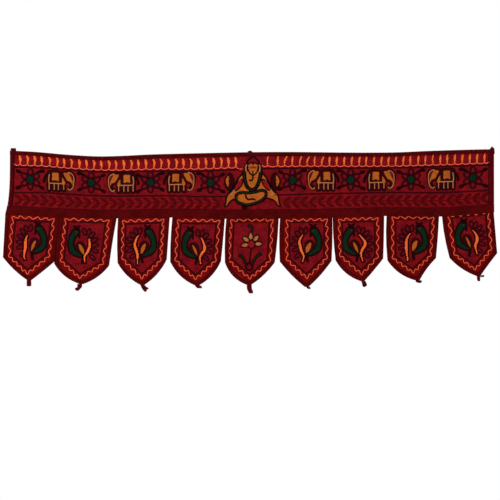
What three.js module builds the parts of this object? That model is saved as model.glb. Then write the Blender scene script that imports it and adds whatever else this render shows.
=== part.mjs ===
// A toran: the embroidered cotton valance that hangs over a doorway.
// A long band carries nine pointed flags. Maroon tape is folded over every edge,
// a maroon strip covers the seam between band and flags, and three short loops of
// tape on the top edge carry the whole. It hangs with its front towards -Y.
// Millimetres, +X to the right, +Z up, the origin at the middle of the top edge.
import * as THREE from 'three';
import { mergeVertices } from 'three/addons/utils/BufferGeometryUtils.js';

const crimsonCotton = { color: 0x7c1016, roughness: 0.85, metalness: 0 };
const maroonTape = { color: 0x4c0a0c, roughness: 0.9, metalness: 0 };

// Cloth, tape and the clearance between sewn layers
const clothThickness = 1.2;
const tapeThickness = 1.0;
const seamGap = 0.3;
const stripGap = 0.4;
const tapeInner = clothThickness / 2 + seamGap;
const tapeOuter = tapeInner + tapeThickness;
const tapeReach = 8;
const clothInset = tapeOuter + 0.5;

// The band on its flat cloth: u runs along it, depth runs down from the top edge
const bandLeft = -483;
const bandRight = 485;
const bandDepth = 129;
const stripTop = 111;
const panelFoot = 119.8;
const flagHead = 120.8;
const bandColumns = 56;
const bandRows = 4;
const stripRows = 1;
const sideTapeTop = tapeReach + seamGap;
const sideTapeFoot = stripTop - seamGap;
const sideTapeSteps = 6;

// The left edge leans outwards towards its foot
const leanReach = 9;
const leanPower = 4;
const leanFade = 200;

// Heights of the top edge and of the strip's foot along the hung band: it sags a
// little between the loops, and its two ends are drawn up
const topEdge = [
  { x: -483, z: 3.0 }, { x: -430, z: 0.2 }, { x: -370, z: -5.0 }, { x: -310, z: -8.3 },
  { x: -265, z: -7.6 }, { x: -200, z: -4.6 }, { x: -110, z: -2.4 }, { x: 0, z: 0.0 },
  { x: 90, z: 0.3 }, { x: 210, z: -1.0 }, { x: 290, z: -0.4 }, { x: 350, z: 2.3 },
  { x: 420, z: 4.6 }, { x: 485, z: 6.0 },
];
const stripFoot = [
  { x: -493, z: -124 }, { x: -395, z: -129.5 }, { x: -268, z: -132.5 }, { x: -161, z: -131 },
  { x: -51, z: -133.5 }, { x: 57, z: -133 }, { x: 163, z: -131 }, { x: 267, z: -128 },
  { x: 379, z: -129 }, { x: 485, z: -121 },
];

// The hung cloth rolls a little towards the wall and away from it, less at its top
const rolls = [
  { height: 3.4, length: 330, phase: 0.6 },
  { height: 0.8, length: 150, phase: 1.9 },
];
const rollAtTop = 0.4;

// Each flag: its top corners, its two shoulders and its point, how far its sides and its
// lower edges bow out, how far the point swings off the wall's plane and the sides turn
const flags = [
  { left: -492.2, right: -383.8, shoulders: [[-496.4, -210], [-393.9, -219]], sides: [0, 0],
    point: [-443.5, -259.5], bows: [2.8, 0.6], swing: -4, turn: 2 },
  { left: -383.4, right: -269.8, shoulders: [[-393.9, -223], [-285, -227]], sides: [0, -0.8],
    point: [-340, -267], bows: [6.4, 4.7], swing: 2, turn: -2 },
  { left: -267.4, right: -163.4, shoulders: [[-268, -221.6], [-169.4, -215]], sides: [1.4, 0],
    point: [-218, -269], bows: [5, 4.8], swing: -3, turn: 1 },
  { left: -158.4, right: -53.2, shoulders: [[-162.6, -219.4], [-61, -218]], sides: [1.2, 0.4],
    point: [-109, -270], bows: [6.4, 5.6], swing: 3, turn: 2 },
  { left: -50.6, right: 54.6, shoulders: [[-53.2, -221], [46.6, -220.6]], sides: [1.5, 1.0],
    point: [-5, -269], bows: [7.5, 3.2], swing: -2, turn: -2 },
  { left: 56.8, right: 161.7, shoulders: [[56.6, -219], [160.2, -217.6]], sides: [1.3, 0.9],
    point: [110.5, -273], bows: [2.2, 2.2], swing: 3, turn: 1 },
  { left: 162.1, right: 265.2, shoulders: [[168, -216.6], [263, -213]], sides: [1.2, 0.4],
    point: [221.5, -261], bows: [6.4, 0.6], swing: -4, turn: -2 },
  { left: 269.8, right: 375.4, shoulders: [[271.6, -216.6], [369.6, -212]], sides: [1.8, 0.6],
    point: [333, -260], bows: [6.8, -2.2], swing: 2, turn: 2 },
  { left: 381.2, right: 484.4, shoulders: [[396.6, -212], [490.6, -202]], sides: [2.0, 0],
    point: [453.6, -251], bows: [4, -0.4], swing: -3, turn: -3 },
];
const flagDrop = 135;
const flagColumns = 7;
const sideSteps = 3;
const slopeSteps = 4;
const bluntHalf = 3.5;
const bluntRise = 3;

// The tape's tail at each point, from that point: where its root starts and ends, and the
// corners of its hem, from left to right
const tails = [
  { root: [-5, 4], hem: [[-5, -7.6], [-3.4, -8.8], [2.4, -8.8], [4, -7.6]] },
  { root: [-8.8, 1], hem: [[-9, -3], [-13, -4.6], [-13, -8.6], [-8, -10.7], [-4, -8.6], [-1, -4.4]] },
  { root: [-4, 4.4], hem: [[-2.5, -0.5], [0.5, -6], [5, -10.4], [7, -10.4], [10.5, -6.4], [13, -4.2],
    [13, -2.2], [8.5, -0.6]] },
  { root: [-4.5, 6.5], hem: [[0, -2.2], [9.8, -2.4], [9.8, 1.2]] },
  { root: [-4.6, 5.4], hem: [[-4, -5], [0, -13.6], [8, -13.9], [8, -8], [5.8, -5]] },
  { root: [-1.5, 6.6], hem: [[2.6, -1], [8.4, -0.8], [7.6, 1.6]] },
  { root: [-2.8, 6], hem: [[-0.6, -6.6], [2.4, -8.8], [7.4, -6.8], [9.2, -4.4], [7.4, -0.6]] },
  { root: [-4.6, 7.6], hem: [[-3.6, 0], [2.6, -1.8], [5.8, -2], [8, 0.2]] },
  { root: [-3.4, 5], hem: [[-2.6, -5.4], [-0.2, -7.2], [3.2, -7], [3.6, 1], [11, 1.4], [11.4, 5]] },
];
const tailThickness = 2.2;
const tailRound = 0.4;

// The hanging loops: a tape folded over, its foot sewn behind the top edge
const loops = [
  { name: 'loop_left', x: -477, top: 8.4 },
  { name: 'loop_centre', x: -3, top: 3.8 },
  { name: 'loop_right', x: 480, top: 12.2 },
];
const loopWidth = 10;
const loopTape = 1.0;
const eyeRadius = 2.6;
const eyeStraight = 3.4;
const eyeTaper = 4;
const eyeHeel = 0.6;
const loopFoot = 5;
const loopCurve = 6;
const loopGap = 0.4;

// Height along a table of stations, with a smooth curve through them
function heightOn(table, x) {
  const last = table.length - 1;
  const found = table.findIndex((row) => row.x >= x);
  const i = found < 0 ? last : Math.max(found, 1);
  const [a, b] = [table[i - 1], table[i]];
  const [before, after] = [table[Math.max(i - 2, 0)], table[Math.min(i + 1, last)]];
  const run = b.x - a.x;
  const t = THREE.MathUtils.clamp((x - a.x) / run, 0, 1);
  const slopeA = ((b.z - before.z) / (b.x - before.x)) * run;
  const slopeB = ((after.z - a.z) / (after.x - a.x)) * run;
  return a.z * (2 * t ** 3 - 3 * t ** 2 + 1) + b.z * (3 * t ** 2 - 2 * t ** 3)
    + slopeA * (t ** 3 - 2 * t ** 2 + t) + slopeB * (t ** 3 - t ** 2);
}

// Off the wall's plane: the rolls grow from the top edge down to the strip
function rollAt(x, depth) {
  const share = rollAtTop + (1 - rollAtTop) * Math.min(1, depth / panelFoot);
  return rolls.reduce(
    (sum, roll) => sum + share * roll.height * Math.sin((2 * Math.PI * x) / roll.length + roll.phase),
    0,
  );
}

// A hung point of the band, from its place on the flat cloth
function bandPoint(u, depth) {
  const fade = 1 - THREE.MathUtils.smoothstep(u, bandLeft, bandLeft + leanFade);
  const x = u - leanReach * fade * (depth / bandDepth) ** leanPower;
  const share = depth / bandDepth;
  const z = (1 - share) * heightOn(topEdge, x) + share * heightOn(stripFoot, x);
  return new THREE.Vector3(x, rollAt(x, depth), z);
}

// A hung point of a flag, from its place in the wall's plane: further down it swings
// and turns a little more
function flagPoint(flag, x, z) {
  const fall = Math.max(0, heightOn(stripFoot, x) - z) / flagDrop;
  const middle = (flag.left + flag.right) / 2;
  const aside = (x - middle) / (flag.right - middle);
  const y = rollAt(x, bandDepth) + flag.swing * fall ** 2 + flag.turn * aside * fall;
  return new THREE.Vector3(x, y, z);
}

// Turns a closed geometry's faces so that they all point out
function outwards(geometry) {
  const { position } = geometry.attributes;
  const { index } = geometry;
  const corners = [0, 1, 2].map(() => new THREE.Vector3());
  let volume = 0;
  for (let i = 0; i < index.count; i += 3) {
    corners.forEach((corner, k) => corner.fromBufferAttribute(position, index.getX(i + k)));
    volume += corners[0].dot(corners[1].cross(corners[2]));
  }
  if (volume < 0) {
    for (let i = 0; i < index.count; i += 3) {
      const first = index.getX(i);
      index.setX(i, index.getX(i + 1));
      index.setX(i + 1, first);
    }
  }
  geometry.computeVertexNormals();
  return geometry;
}

function closed(geometry) {
  geometry.deleteAttribute('normal');
  geometry.deleteAttribute('uv');
  return outwards(mergeVertices(geometry, 1e-4));
}

// A box of many faces: place puts each of its points, from its step along, its step
// across and its side, 1 or -1, through the thickness
function bentBox(along, across, place) {
  const box = new THREE.BoxGeometry(1, 1, 1, along, across, 1);
  const { position } = box.attributes;
  for (let i = 0; i < position.count; i += 1) {
    const a = Math.round((position.getX(i) + 0.5) * along);
    const c = Math.round((position.getY(i) + 0.5) * across);
    const p = place(a, c, Math.sign(position.getZ(i)));
    position.setXYZ(i, p.x, p.y, p.z);
  }
  return closed(box);
}

// Cloth of one thickness: spot is its middle at a column and a row
function cloth(columns, rows, spot, thickness) {
  return bentBox(columns, rows, (column, row, side) => {
    const p = spot(column, row);
    p.y -= (side * thickness) / 2;
    return p;
  });
}

// Section of a tape folded over an edge, from the end of its front leg round the fold
// to the end of its back leg: how far inside the edge, and how far behind the cloth
function foldSection(radius) {
  return [
    { inside: tapeReach, back: -radius },
    { inside: tapeOuter, back: -radius },
    { inside: tapeOuter - radius, back: 0 },
    { inside: tapeOuter, back: radius },
    { inside: tapeReach, back: radius },
  ];
}

// A tape folded over an edge: hang gives the hung place of a flat point
function foldedTape(stops, hang) {
  const outer = foldSection(tapeOuter);
  const inner = foldSection(tapeInner);
  return bentBox(stops.length - 1, outer.length - 1, (stop, corner, side) => {
    const { inside, back } = side > 0 ? outer[corner] : inner[corner];
    const flat = insideOf(stops[stop], inside);
    const p = hang(flat.x, flat.y);
    p.y += back;
    return p;
  });
}

function insideOf({ at, inwards }, distance) {
  return at.clone().addScaledVector(inwards, distance);
}

// Adds to each point of an edge its way inwards, longer at a corner, so that a line
// a distance inside keeps that distance. The cloth lies on the left of the edge's run.
function withInwards(points) {
  const normals = points.slice(1).map((p, i) => {
    const run = p.clone().sub(points[i]);
    return new THREE.Vector2(-run.y, run.x).normalize();
  });
  return points.map((at, i) => {
    const sum = normals[Math.max(i - 1, 0)].clone().add(normals[Math.min(i, normals.length - 1)]);
    return { at, inwards: sum.multiplyScalar(2 / sum.lengthSq()) };
  });
}

// Points from one corner up to the next, bowed out to the right of the run
function bowed(from, to, bow, steps) {
  const run = to.clone().sub(from);
  const out = new THREE.Vector2(run.y, -run.x).normalize();
  return Array.from({ length: steps }, (_, i) => {
    const t = i / steps;
    return from.clone().addScaledVector(run, t).addScaledVector(out, bow * 4 * t * (1 - t));
  });
}

// A flag's edge: down its left side, round its blunt point and up its right side
function flagEdge(flag) {
  const top = (x) => new THREE.Vector2(x, heightOn(stripFoot, x) - stripGap);
  const [topLeft, topRight] = [top(flag.left), top(flag.right)];
  const [left, right] = flag.shoulders.map((shoulder) => new THREE.Vector2(...shoulder));
  const point = new THREE.Vector2(...flag.point);
  const bluntLeft = point.clone().add(new THREE.Vector2(-bluntHalf, bluntRise));
  const bluntRight = point.clone().add(new THREE.Vector2(bluntHalf, bluntRise));
  const edge = withInwards([
    ...bowed(topLeft, left, flag.sides[0], sideSteps),
    ...bowed(left, bluntLeft, flag.bows[0], slopeSteps),
    bluntLeft,
    ...bowed(bluntRight, right, flag.bows[1], slopeSteps),
    ...bowed(right, topRight, flag.sides[1], sideSteps),
    topRight,
  ]);
  // The tape's two cut ends run along the strip's foot
  [[edge.at(0), 1], [edge.at(-1), -1]].forEach(([{ at, inwards }, way]) => {
    const inner = top(at.x + way * tapeReach);
    inwards.copy(inner.sub(at).divideScalar(tapeReach));
  });
  return edge;
}

// The flag's cloth ends inside its folded tape, and its head runs up behind the strip
function flagPanel(flag) {
  const inset = flagEdge(flag).map((stop) => insideOf(stop, clothInset));
  const rows = inset.length / 2;
  const left = inset.slice(0, rows);
  const right = inset.slice(rows).reverse();
  [left, right].forEach((side) => {
    const head = side[0].clone();
    head.y = heightOn(stripFoot, head.x) + bandDepth - flagHead;
    side.unshift(head);
  });
  return cloth(flagColumns, rows, (column, row) => {
    const spot = left[row].clone().lerp(right[row], column / flagColumns);
    return flagPoint(flag, spot.x, spot.y);
  }, clothThickness);
}

function flagBinding(flag) {
  return foldedTape(flagEdge(flag), (x, z) => flagPoint(flag, x, z));
}

// A tail: its root lies along the flag's blunt point, and its hem runs round its free end
function flagTail(flag, { root: [from, to], hem }) {
  const [x, z] = flag.point;
  const rootHeight = bluntRise - seamGap;
  const corners = [[from, rootHeight], ...hem, [to, rootHeight]];
  const outline = new THREE.ExtrudeGeometry(
    new THREE.Shape(corners.map((corner) => new THREE.Vector2(...corner))), {
      depth: tailThickness - 2 * tailRound,
      bevelThickness: tailRound,
      bevelSize: tailRound,
      bevelOffset: -tailRound,
      bevelSegments: 1,
    });
  outline.translate(0, 0, tailRound - tailThickness / 2);
  outline.rotateX(Math.PI / 2);
  outline.translate(x, flagPoint(flag, x, z + rootHeight).y, z);
  return closed(outline);
}

// Side view of a loop: its eye hangs behind a straight front leg, over a sewn foot
function loopShape() {
  const outerRadius = eyeRadius + loopTape;
  const centre = -outerRadius;
  const bend = centre - eyeStraight;
  const heel = bend - eyeTaper;
  const shape = new THREE.Shape();
  shape.moveTo(0, heel - loopFoot);
  shape.lineTo(2 * loopTape, heel - loopFoot);
  shape.lineTo(2 * loopTape + eyeHeel, heel - loopTape / 2);
  shape.lineTo(2 * outerRadius, bend);
  shape.lineTo(2 * outerRadius, centre);
  shape.absarc(outerRadius, centre, outerRadius, 0, Math.PI, false);
  const eye = new THREE.Path();
  eye.moveTo(loopTape, heel);
  eye.lineTo(loopTape, centre);
  eye.absarc(outerRadius, centre, eyeRadius, Math.PI, 0, true);
  eye.lineTo(2 * outerRadius - loopTape, bend);
  eye.lineTo(loopTape + eyeHeel, heel);
  shape.holes.push(eye);
  return shape;
}

function hangingLoop({ x, top }) {
  const loop = new THREE.ExtrudeGeometry(loopShape(), {
    depth: loopWidth, bevelEnabled: false, curveSegments: loopCurve,
  });
  loop.rotateX(Math.PI / 2);
  loop.rotateZ(Math.PI / 2);
  loop.translate(x - loopWidth / 2, rollAt(x, 0) + tapeOuter + loopGap, top);
  return closed(loop);
}

// The band's edge tapes, along lines of its flat cloth
function bandTape(from, to, steps) {
  const points = Array.from(
    { length: steps + 1 }, (_, i) => from.clone().lerp(to, i / steps));
  return foldedTape(withInwards(points), (u, height) => bandPoint(u, -height));
}

function bandCloth(top, foot, inset, rows, thickness, offset) {
  return cloth(bandColumns, rows, (column, row) => {
    const u = THREE.MathUtils.lerp(bandLeft + inset, bandRight - inset, column / bandColumns);
    const p = bandPoint(u, THREE.MathUtils.lerp(foot, top, row / rows));
    p.y += offset;
    return p;
  }, thickness);
}

const toran = new THREE.Group();

function add(name, geometry, finish) {
  const mesh = new THREE.Mesh(geometry, new THREE.MeshStandardMaterial(finish));
  mesh.name = name;
  toran.add(mesh);
}

add('band_panel', bandCloth(clothInset, panelFoot, clothInset, bandRows, clothThickness, 0),
  crimsonCotton);
add('binding_top',
  bandTape(new THREE.Vector2(bandRight, 0), new THREE.Vector2(bandLeft, 0), bandColumns),
  maroonTape);
add('binding_left',
  bandTape(new THREE.Vector2(bandLeft, -sideTapeTop), new THREE.Vector2(bandLeft, -sideTapeFoot),
    sideTapeSteps), maroonTape);
add('binding_right',
  bandTape(new THREE.Vector2(bandRight, -sideTapeFoot), new THREE.Vector2(bandRight, -sideTapeTop),
    sideTapeSteps), maroonTape);
add('joining_strip',
  bandCloth(stripTop, bandDepth, 0, stripRows, tapeThickness, -tapeInner - tapeThickness / 2),
  maroonTape);
flags.forEach((flag, i) => {
  add(`flag_panel_${i + 1}`, flagPanel(flag), crimsonCotton);
  add(`flag_binding_${i + 1}`, flagBinding(flag), maroonTape);
  add(`flag_tail_${i + 1}`, flagTail(flag, tails[i]), maroonTape);
});
loops.forEach((loop) => add(loop.name, hangingLoop(loop), maroonTape));

export default toran;
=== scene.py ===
import math
from functools import partial

import bpy
import numpy as np
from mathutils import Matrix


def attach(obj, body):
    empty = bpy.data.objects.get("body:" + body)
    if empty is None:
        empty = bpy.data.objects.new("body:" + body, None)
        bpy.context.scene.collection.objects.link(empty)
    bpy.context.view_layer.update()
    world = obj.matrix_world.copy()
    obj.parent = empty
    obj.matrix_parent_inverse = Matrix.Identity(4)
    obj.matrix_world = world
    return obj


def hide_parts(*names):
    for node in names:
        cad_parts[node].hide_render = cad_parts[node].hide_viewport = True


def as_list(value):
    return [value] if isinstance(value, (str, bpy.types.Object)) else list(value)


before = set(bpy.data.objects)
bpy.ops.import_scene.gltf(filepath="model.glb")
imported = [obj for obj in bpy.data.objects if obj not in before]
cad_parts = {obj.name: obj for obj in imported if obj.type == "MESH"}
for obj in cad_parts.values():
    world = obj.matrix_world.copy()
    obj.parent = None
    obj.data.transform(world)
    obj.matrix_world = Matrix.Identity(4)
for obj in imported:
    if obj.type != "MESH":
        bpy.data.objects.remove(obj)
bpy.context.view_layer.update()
rng = np.random.default_rng(21)
mm = 0.001
print("frame loaded:", len(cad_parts), "nodes")

# How the cloth hangs, in millimetres: x to the right, z up, the front faces -y.
# The sizes are those of the solids, so each piece lies where its solid does.
hang = {
    "bandLeft": -483, "bandRight": 485, "bandDepth": 129, "panelFoot": 119.8,
    "leanReach": 9, "leanPower": 4, "leanFade": 200,
    "rolls": [(3.4, 330, 0.6), (0.8, 150, 1.9)],  # height, length, phase
    "rollAtTop": 0.4, "flagDrop": 135,
    "rumples": [(0.20, 53, 37, 0.3), (0.15, 29, 41, 1.7), (0.09, 17, 19, 2.6)],  # height, across, down, phase
    "topEdge": [(-483, 3.0), (-430, 0.2), (-370, -5.0), (-310, -8.3), (-265, -7.6), (-200, -4.6),
                (-110, -2.4), (0, 0.0), (90, 0.3), (210, -1.0), (290, -0.4), (350, 2.3), (420, 4.6),
                (485, 6.0)],
    "stripFoot": [(-493, -124), (-395, -129.5), (-268, -132.5), (-161, -131), (-51, -133.5), (57, -133),
                  (163, -131), (267, -128), (379, -129), (485, -121)],
}


def heightOn(table, x):  # a soft curve through a table's heights
    xs, zs = np.array(table, float).T
    last = len(xs) - 1
    b = np.clip(np.searchsorted(xs, x), 1, last)
    a, before, after = b - 1, np.maximum(b - 2, 0), np.minimum(b + 1, last)
    run = xs[b] - xs[a]
    t = np.clip((x - xs[a]) / run, 0, 1)
    slopeA = (zs[b] - zs[before]) / (xs[b] - xs[before]) * run
    slopeB = (zs[after] - zs[a]) / (xs[after] - xs[a]) * run
    return (zs[a] * (2 * t**3 - 3 * t**2 + 1) + zs[b] * (3 * t**2 - 2 * t**3)
            + slopeA * (t**3 - 2 * t**2 + t) + slopeB * (t**3 - t**2))


def rollAt(x, depth):
    share = hang["rollAtTop"] + (1 - hang["rollAtTop"]) * np.minimum(1, depth / hang["panelFoot"])
    return sum(share * height * np.sin(2 * np.pi * x / length + phase)
               for height, length, phase in hang["rolls"])


def rumple(x, z):  # small soft waves that every layer shares
    return sum(height * np.sin(2 * np.pi * x / across + phase + 0.8 * np.sin(2 * np.pi * z / down))
               * np.cos(2 * np.pi * z / down + 2 * phase) for height, across, down, phase in hang["rumples"])


def bandSpot(x, depth):  # from x and depth on the hung band to the wall's plane
    share = depth / hang["bandDepth"]
    z = (1 - share) * heightOn(hang["topEdge"], x) + share * heightOn(hang["stripFoot"], x)
    return np.stack([x, z], -1)


def bandFlat(u, depth):  # the same from the flat band, whose left edge leans
    fade = np.clip((u - hang["bandLeft"]) / hang["leanFade"], 0, 1)
    fade = 1 - fade * fade * (3 - 2 * fade)
    x = u - hang["leanReach"] * fade * np.maximum(depth / hang["bandDepth"], 0) ** hang["leanPower"]
    return bandSpot(x, depth)


def onBand(spots, lift):  # lift is how far in front of the cloth's middle
    x, z = spots[..., 0], spots[..., 1]
    top, foot = heightOn(hang["topEdge"], x), heightOn(hang["stripFoot"], x)
    depth = (top - z) / (top - foot) * hang["bandDepth"]
    return np.stack(np.broadcast_arrays(x, rollAt(x, depth) + rumple(x, z) - lift, z), -1)


# Each flag: top corners, shoulders, bows of its sides, point, bows of its lower edges, swing and turn; the
# corners that its wavy border runs through; its motif's middle and facing; how far the border's inner line
# rises along the top; and its peacock's wing and feather
flagKeys = ("left", "right", "shoulders", "sides", "point", "bows", "swing", "turn", "wave", "motif",
            "facing", "rise", "wing", "feather")
flags = [dict(zip(flagKeys, row)) for row in [
    (-492.2, -383.5, [(-496.4, -210), (-393.6, -219)], (0, 0), (-443.5, -259.5), (2.8, 0.6), -4, 2,
     [(-477, -129.5), (-394.8, -134.4), (-404.4, -208.4), (-447.4, -243.2), (-484, -208.4)],
     (-445, -181.8), 1, 0, 4.4,
     [(-2, 16), (-5, 10), (-6.5, 2), (-6.5, -8), (-8, -18), (-9, -27), (-7, -33)]),
    (-383.7, -269.8, [(-394.7, -223), (-285, -227)], (0, -0.8), (-340, -267), (6.4, 4.7), 2, -2,
     [(-372, -135), (-285.8, -138), (-297.4, -223.4), (-343.8, -251.6), (-381.2, -217.6)],
     (-330.8, -189), -1, 2.5, 6.5,
     [(-6, 16), (-7, 8), (-6.5, 0), (-3, -10), (2, -17), (3.5, -23), (2.5, -32)]),
    (-267.4, -163.4, [(-268, -221.6), (-169.4, -215)], (1.4, 0), (-218, -269), (5, 4.8), -3, 1,
     [(-257.4, -138), (-176, -135.4), (-181.8, -216.8), (-219.2, -252.4), (-259, -212.6)],
     (-226, -188), 1, 0, 5.5,
     [(1, 22), (-3, 17), (-6.5, 8), (-7, 0), (-4.5, -8), (-2, -18), (-2, -37)]),
    (-158.4, -53.2, [(-162.6, -219.4), (-61, -218)], (1.2, 0.4), (-109, -270), (6.4, 5.6), 3, 2,
     [(-147, -136.6), (-64, -137.4), (-71.6, -217.6), (-112.2, -254), (-152, -216)],
     (-103.6, -191), -1, 0, 4.6,
     [(-3, 20), (-7, 12), (-10, 2), (-9.5, -5), (-5, -11), (-1, -19), (-2, -33)]),
    (-50.6, 54.6, [(-53.2, -221), (46.6, -220.6)], (1.5, 1.0), (-5, -269), (7.5, 3.2), -2, -2,
     [(-40.8, -138), (42.2, -137.4), (37.2, -217.6), (-3.4, -253.2), (-45, -217.6)],
     (-0.6, -184.2), 0, 4.4, 0, []),
    (56.8, 161.7, [(56.6, -219), (160.2, -217.6)], (1.3, 0.9), (110.5, -273), (2.2, 2.2), 3, 1,
     [(70.4, -137.8), (150.8, -136), (150.8, -211.8), (111, -252.4), (70.4, -215.2)],
     (104.6, -186), 1, 3, 7,
     [(-1.5, 21), (-7, 13), (-8.5, 5), (-6.5, -5), (-4.5, -12), (0, -23), (-3, -34)]),
    (162.1, 265.2, [(168, -216.6), (263, -213)], (1.2, 0.4), (221.5, -261), (6.4, 0.6), -4, -2,
     [(174.8, -135.8), (252, -133), (252, -210.2), (219.6, -244.2), (176.6, -206.8)],
     (217.6, -185.4), -1, 1.2, 5,
     [(3, 21), (-3, 14), (-9, 6), (-9, -1), (-5, -7), (-1, -18), (-4.5, -33)]),
    (269.8, 375.4, [(271.6, -216.6), (369.6, -212)], (1.8, 0.6), (333, -260), (6.8, -2.2), 2, 2,
     [(282.2, -132.4), (364.2, -133.2), (358.8, -206.6), (323.6, -241), (282.2, -212)],
     (317, -181.8), 1, 4.4, 6.8,
     [(1, 20), (-4, 13), (-7, 5), (-7.5, -5), (-7, -15), (-5.5, -26), (-5, -36)]),
    (381.2, 484.4, [(396.6, -212), (490.6, -202)], (2.0, 0), (453.6, -251), (4, -0.4), -3, -3,
     [(394, -129.6), (473.6, -122.6), (479, -193.6), (446.8, -235), (406.2, -204.4)],
     (443.2, -174.8), -1, 4.4, 3.8,
     [(1, 19), (-4, 13), (-7.5, 6), (-8, -2), (-5, -10), (-5, -17), (-8, -29)]),
]]


def onFlag(flag):
    middle = (flag["left"] + flag["right"]) / 2

    def surface(spots, lift):
        x, z = spots[..., 0], spots[..., 1]
        fall = np.maximum(0, heightOn(hang["stripFoot"], x) - z) / hang["flagDrop"]
        aside = (x - middle) / (flag["right"] - middle)
        y = rollAt(x, hang["bandDepth"]) + flag["swing"] * fall**2 + flag["turn"] * aside * fall
        return np.stack(np.broadcast_arrays(x, y + rumple(x, z) - lift, z), -1)
    return surface


# Mesh helpers: all sizes go in as millimetres and come out as metres
def newPiece(name, points, quads, uv, finish, tris=()):
    mesh = bpy.data.meshes.new(name)
    corners = np.concatenate([np.ravel(quads), np.ravel(tris)]).astype(np.int32)
    starts = np.concatenate([np.arange(len(quads)) * 4, len(quads) * 4 + np.arange(len(tris)) * 3])
    mesh.vertices.add(len(points))
    mesh.vertices.foreach_set("co", (points * mm).astype(np.float32).ravel())
    mesh.loops.add(len(corners))
    mesh.loops.foreach_set("vertex_index", corners)
    mesh.polygons.add(len(starts))
    mesh.polygons.foreach_set("loop_start", starts.astype(np.int32))
    mesh.update(calc_edges=True)
    mesh.polygons.foreach_set("use_smooth", np.ones(len(starts), bool))
    mesh.uv_layers.new(name="cloth").data.foreach_set("uv", uv.astype(np.float32)[corners].ravel())
    piece = bpy.data.objects.new(name, mesh)
    bpy.context.scene.collection.objects.link(piece)
    material, slot = finishes[finish]
    mesh.materials.append(material)
    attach(piece, "root")
    return piece


def closedPiece(name, points, quads, uv, finish):  # its faces are turned to point outwards
    points = points.reshape(-1, 3)
    a, b, c = points[np.concatenate([quads[:, :3], quads[:, [0, 2, 3]]])].transpose(1, 0, 2)
    if (a * np.cross(b, c)).sum() < 0:
        quads = quads[:, ::-1]
    return newPiece(name, points, quads, uv.reshape(-1, 2), finish)


def gridQuads(index):
    a, b, c, d = index[:-1, :-1], index[:-1, 1:], index[1:, 1:], index[1:, :-1]
    return np.stack([a, b, c, d], -1).reshape(-1, 4)


def tubeQuads(count, ring):  # round each ring, from one to the next
    index = np.arange(count * ring).reshape(count, ring)
    return index, gridQuads(np.concatenate([index, index[:, :1]], 1))


def closedSheet(name, front, back, uv, finish, wrap=False):
    index = np.arange(front[..., 0].size).reshape(front.shape[:2])
    n = index.size
    if wrap:  # the last row meets the first again
        index = np.concatenate([index, index[:1]])
        rims = [index[:, 0], index[::-1, -1]]
    else:
        rims = [np.concatenate([index[:, 0], index[-1, 1:], index[-2::-1, -1], index[0, -2::-1]])]
    quads = [gridQuads(index), gridQuads(index[:, ::-1] + n)]
    quads += [gridQuads(np.stack([rim + n, rim])) for rim in rims]
    return closedPiece(name, np.stack([front, back]), np.concatenate(quads), np.stack([uv, uv]), finish)


def clothOf(name, surface, spots, lift, thickness, uv, finish, wrap=False):
    front, back = (surface(spots, lift + way * thickness / 2) for way in (1, -1))
    return closedSheet(name, front, back, uv, finish, wrap)


def tapePiece(name, points, section, along):  # a tape's section drawn along its run, with closed ends
    index, quads = tubeQuads(*points.shape[:2])
    last = len(section) // 2 - 1
    caps = np.array([index[row][[k, k + 1, -k - 2, -k - 1]] for row in (0, -1) for k in range(last)])
    caps[:last] = caps[:last, ::-1]
    uv = alongUv(along, runOf(section))
    return closedPiece(name, points, np.concatenate([quads, caps]), uv, "maroonTape")


# Lines in the wall's plane
def runOf(line):  # how far along it each of its places is
    return np.concatenate([[0], np.cumsum(np.hypot(*np.diff(line, axis=0).T))])


def alongUv(along, across):
    return np.stack(np.broadcast_arrays(along[:, None], across), -1)


def placesAt(t, run, line):
    return np.stack([np.interp(t, run, line[:, k]) for k in (0, 1)], 1)


def respaced(line, step=1.0, count=None):
    line = np.asarray(line, float)
    run = runOf(line)
    return placesAt(np.linspace(0, run[-1], count or max(3, int(round(run[-1] / step)) + 1)), run, line)


def smooth(points, closed=False, steps=6):  # a soft curve through listed points
    p = np.array(points, float)
    first, last = (p[-1:], p[:2]) if closed else (2 * p[:1] - p[1:2], 2 * p[-1:] - p[-2:-1])
    p = np.concatenate([first, p, last])
    t = np.linspace(0, 1, steps, endpoint=False)[:, None]
    out = [0.5 * (2 * b + (c - a) * t + (2 * a - 5 * b + 4 * c - d) * t**2 + (3 * b - a - 3 * c + d) * t**3)
           for a, b, c, d in zip(p[:-3], p[1:-2], p[2:-1], p[3:])]
    return np.concatenate(out if closed else out + [p[-2:-1]])


def inwardsOf(points, closed=False):  # the way inwards at each point, longer at a corner
    run = np.diff(np.concatenate([points, points[:1]]) if closed else points, axis=0)
    normal = np.stack([-run[:, 1], run[:, 0]], 1) / np.hypot(*run.T)[:, None]
    before = np.concatenate([normal[-1:] if closed else normal[:1], normal])
    after = np.concatenate([normal, normal[:1] if closed else normal[-1:]])
    both = (before + after)[:len(points)]
    return both * (2 / (both**2).sum(1))[:, None]


def bowed(start, end, bow, steps):
    start, end = np.array(start, float), np.array(end, float)
    run = end - start
    out = np.array([run[1], -run[0]]) / np.hypot(*run)
    t = (np.arange(steps) / steps)[:, None]
    return start + run * t + out * bow * 4 * t * (1 - t)


# Materials: cloth and thread share these node groups. Their coordinates are the cloth's own, in millimetres
def nodeGroup(name, inputs, outputs):
    group = bpy.data.node_groups.new(name, "ShaderNodeTree")
    for label, value in inputs.items():
        kind = value if isinstance(value, str) else "Float"
        socket = group.interface.new_socket(name=label, in_out="INPUT", socket_type="NodeSocket" + kind)
        if kind == "Float":
            socket.default_value = value
    for label, kind in outputs.items():
        group.interface.new_socket(name=label, in_out="OUTPUT", socket_type="NodeSocket" + kind)
    return group, group.nodes.new("NodeGroupInput").outputs, group.nodes.new("NodeGroupOutput").inputs


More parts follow.
